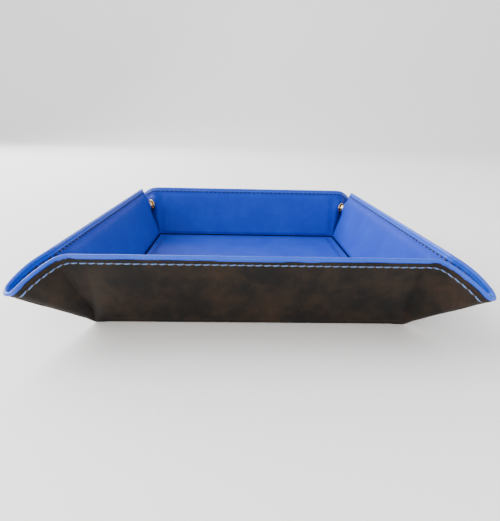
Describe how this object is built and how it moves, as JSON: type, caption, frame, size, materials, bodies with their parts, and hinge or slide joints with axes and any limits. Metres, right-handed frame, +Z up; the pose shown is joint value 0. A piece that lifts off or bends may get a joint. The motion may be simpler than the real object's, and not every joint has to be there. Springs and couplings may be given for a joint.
{
  "type": "folding dice tray",
  "caption": "Square tray of lined leather with boards in its base and walls; snapped folded corners hold the leaning walls up, and undone it lies flat.",
  "frame": {"origin": "centre of the underside of the base, on the surface that the tray stands on", "axes": "+Z up, +X towards the right wall, -Y towards the front wall"},
  "size_m": [0.2188, 0.2188, 0.0426],
  "materials": {
    "cover": "black grained leather with a soft sheen",
    "lining": "royal blue grained leather with a soft sheen",
    "board": "matt grey board",
    "thread": "blue twisted thread",
    "snap": "polished brass"
  },
  "bodies": {
    "base": {"base_cover": "cover", "base_board": "board", "base_lining": "lining", "base_stitching": "thread"},
    "rear_wall": {"rear_wall_cover": "cover", "rear_wall_board": "board", "rear_wall_lining": "lining", "rear_wall_stitching": "thread"},
    "rear_wall_right_ear": {"rear_wall_right_ear_cover": "cover", "rear_wall_right_ear_lining": "lining", "rear_wall_right_ear_stitching": "thread", "rear_right_snap_stud": "snap", "rear_right_snap_stud_rivet": "snap"},
    "rear_wall_left_ear": {"rear_wall_left_ear_cover": "cover", "rear_wall_left_ear_lining": "lining", "rear_wall_left_ear_stitching": "thread", "rear_left_snap_stud": "snap", "rear_left_snap_stud_rivet": "snap"},
    "left_wall": {"left_wall_cover": "cover", "left_wall_board": "board", "left_wall_lining": "lining", "left_wall_stitching": "thread"},
    "left_wall_rear_ear": {"left_wall_rear_ear_cover": "cover", "left_wall_rear_ear_lining": "lining", "left_wall_rear_ear_stitching": "thread", "rear_left_snap_socket": "snap", "rear_left_snap_socket_rivet": "snap"},
    "left_wall_front_ear": {"left_wall_front_ear_cover": "cover", "left_wall_front_ear_lining": "lining", "left_wall_front_ear_stitching": "thread", "front_left_snap_socket": "snap", "front_left_snap_socket_rivet": "snap"},
    "front_wall": {"front_wall_cover": "cover", "front_wall_board": "board", "front_wall_lining": "lining", "front_wall_stitching": "thread"},
    "front_wall_left_ear": {"front_wall_left_ear_cover": "cover", "front_wall_left_ear_lining": "lining", "front_wall_left_ear_stitching": "thread", "front_left_snap_stud": "snap", "front_left_snap_stud_rivet": "snap"},
    "front_wall_right_ear": {"front_wall_right_ear_cover": "cover", "front_wall_right_ear_lining": "lining", "front_wall_right_ear_stitching": "thread", "front_right_snap_stud": "snap", "front_right_snap_stud_rivet": "snap"},
    "right_wall": {"right_wall_cover": "cover", "right_wall_board": "board", "right_wall_lining": "lining", "right_wall_stitching": "thread"},
    "right_wall_front_ear": {"right_wall_front_ear_cover": "cover", "right_wall_front_ear_lining": "lining", "right_wall_front_ear_stitching": "thread", "front_right_snap_socket": "snap", "front_right_snap_socket_rivet": "snap"},
    "right_wall_rear_ear": {"right_wall_rear_ear_cover": "cover", "right_wall_rear_ear_lining": "lining", "right_wall_rear_ear_stitching": "thread", "rear_right_snap_socket": "snap", "rear_right_snap_socket_rivet": "snap"}
  },
  "joints": [
    {"name": "rear_wall_fold", "type": "hinge", "parent": "base", "child": "rear_wall", "pos_m": [0, 0.08, 0.0016], "axis": [-1, 0, 0], "range_deg": [0, 67.5]},
    {"name": "rear_wall_right_ear_fold", "type": "hinge", "parent": "rear_wall", "child": "rear_wall_right_ear", "pos_m": [0.08, 0.08, 0.0016], "axis": [-0.0872, -0.3325, -0.9391], "range_deg": [0, 33.8]},
    {"name": "rear_wall_left_ear_fold", "type": "hinge", "parent": "rear_wall", "child": "rear_wall_left_ear", "pos_m": [-0.08, 0.08, 0.0016], "axis": [-0.0872, 0.3325, 0.9391], "range_deg": [0, 33.8]},
    {"name": "left_wall_fold", "type": "hinge", "parent": "base", "child": "left_wall", "pos_m": [-0.08, 0, 0.0016], "axis": [0, -1, 0], "range_deg": [0, 67.5]},
    {"name": "left_wall_rear_ear_fold", "type": "hinge", "parent": "left_wall", "child": "left_wall_rear_ear", "pos_m": [-0.08, 0.08, 0.0016], "axis": [0.3325, -0.0872, -0.9391], "range_deg": [0, 33.8]},
    {"name": "left_wall_front_ear_fold", "type": "hinge", "parent": "left_wall", "child": "left_wall_front_ear", "pos_m": [-0.08, -0.08, 0.0016], "axis": [-0.3325, -0.0872, 0.9391], "range_deg": [0, 33.8]},
    {"name": "front_wall_fold", "type": "hinge", "parent": "base", "child": "front_wall", "pos_m": [0, -0.08, 0.0016], "axis": [1, 0, 0], "range_deg": [0, 67.5]},
    {"name": "front_wall_left_ear_fold", "type": "hinge", "parent": "front_wall", "child": "front_wall_left_ear", "pos_m": [-0.08, -0.08, 0.0016], "axis": [0.0872, 0.3325, -0.9391], "range_deg": [0, 33.8]},
    {"name": "front_wall_right_ear_fold", "type": "hinge", "parent": "front_wall", "child": "front_wall_right_ear", "pos_m": [0.08, -0.08, 0.0016], "axis": [0.0872, -0.3325, 0.9391], "range_deg": [0, 33.8]},
    {"name": "right_wall_fold", "type": "hinge", "parent": "base", "child": "right_wall", "pos_m": [0.08, 0, 0.0016], "axis": [0, 1, 0], "range_deg": [0, 67.5]},
    {"name": "right_wall_front_ear_fold", "type": "hinge", "parent": "right_wall", "child": "right_wall_front_ear", "pos_m": [0.08, -0.08, 0.0016], "axis": [-0.3325, 0.0872, -0.9391], "range_deg": [0, 33.8]},
    {"name": "right_wall_rear_ear_fold", "type": "hinge", "parent": "right_wall", "child": "right_wall_rear_ear", "pos_m": [0.08, 0.08, 0.0016], "axis": [0.3325, 0.0872, 0.9391], "range_deg": [0, 33.8]}
  ],
  "couplings": [
    {"joint": "rear_wall_fold", "follows": "front_wall_fold", "ratio": 1},
    {"joint": "rear_wall_right_ear_fold", "follows": "front_wall_fold", "ratio": 0.50049},
    {"joint": "rear_wall_left_ear_fold", "follows": "front_wall_fold", "ratio": 0.50049},
    {"joint": "left_wall_fold", "follows": "front_wall_fold", "ratio": 1},
    {"joint": "left_wall_rear_ear_fold", "follows": "front_wall_fold", "ratio": 0.50049},
    {"joint": "left_wall_front_ear_fold", "follows": "front_wall_fold", "ratio": 0.50049},
    {"joint": "front_wall_left_ear_fold", "follows": "front_wall_fold", "ratio": 0.50049},
    {"joint": "front_wall_right_ear_fold", "follows": "front_wall_fold", "ratio": 0.50049},
    {"joint": "right_wall_fold", "follows": "front_wall_fold", "ratio": 1},
    {"joint": "right_wall_front_ear_fold", "follows": "front_wall_fold", "ratio": 0.50049},
    {"joint": "right_wall_rear_ear_fold", "follows": "front_wall_fold", "ratio": 0.50049}
  ]
}
